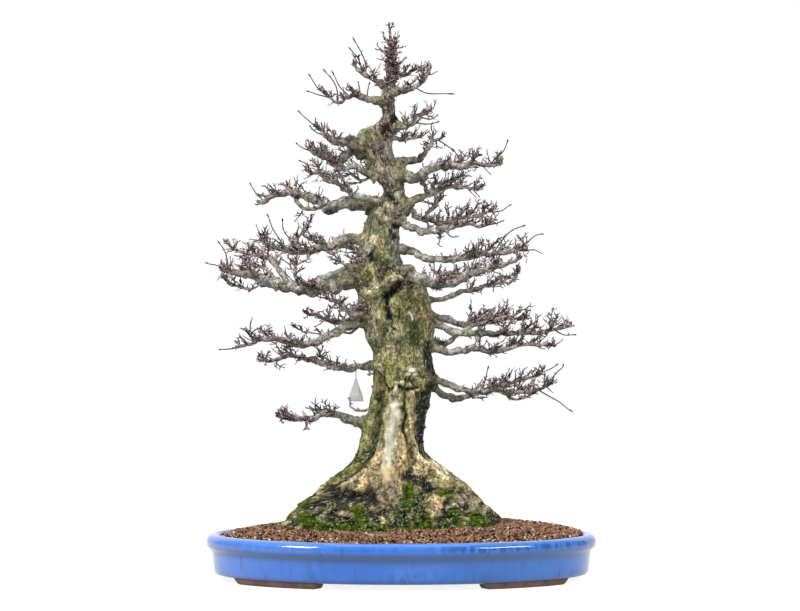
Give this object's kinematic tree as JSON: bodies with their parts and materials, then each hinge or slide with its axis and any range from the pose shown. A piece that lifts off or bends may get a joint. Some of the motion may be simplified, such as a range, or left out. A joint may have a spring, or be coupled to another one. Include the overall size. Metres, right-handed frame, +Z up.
{
  "type": "trident maple bonsai",
  "caption": "Winter-bare trident maple bonsai with a wide root flare and layered branches, in a shallow oval blue-glazed pot on low bracket feet.",
  "frame": {"origin": "centre of the oval pot, in the plane of the undersides of its feet", "axes": "+Z up, +X to the right in the front view, -Y towards the viewer"},
  "size_m": [0.66, 0.48, 0.942],
  "materials": {
    "glaze": "gloss blue glaze on stoneware",
    "screen": "black plastic grid",
    "soil": "granular clay soil",
    "bark": "bark with algae and moss",
    "branch": "smooth grey and red-brown bark",
    "wire": "bare wire",
    "gauze": "thin gauze pouch"
  },
  "bodies": {
    "root": {"pot": "glaze", "drain_screen_1": "screen", "drain_screen_2": "screen", "drain_screen_3": "screen", "soil": "soil", "trunk": "bark", "limb_left_1": "branch", "limb_right_1": "branch", "limb_right_2": "branch", "limb_left_2": "branch", "limb_back_1": "branch", "limb_right_3": "branch", "limb_left_3": "branch", "limb_right_4": "branch", "limb_right_5": "branch", "limb_front_1": "branch", "limb_left_4": "branch", "limb_back_2": "branch", "limb_left_5": "branch", "limb_right_6": "branch", "limb_right_7": "branch", "limb_left_6": "branch", "limb_back_3": "branch", "limb_right_8": "branch", "limb_left_7": "branch", "limb_front_3": "branch", "limb_back_4": "branch", "limb_right_9": "branch", "limb_right_10": "branch", "limb_back_5": "branch", "limb_left_8": "branch", "limb_left_9": "branch", "limb_right_11": "branch", "limb_right_12": "branch", "limb_left_10": "branch", "limb_back_6": "branch", "limb_right_13": "branch", "limb_left_11": "branch", "limb_right_14": "branch", "limb_left_12": "branch", "limb_right_15": "branch", "limb_back_7": "branch", "limb_left_13": "branch", "limb_right_16": "branch", "limb_back_8": "branch", "limb_left_14": "branch", "limb_right_17": "branch", "sachet_hook": "wire", "sachet": "gauze"}
  },
  "joints": []
}
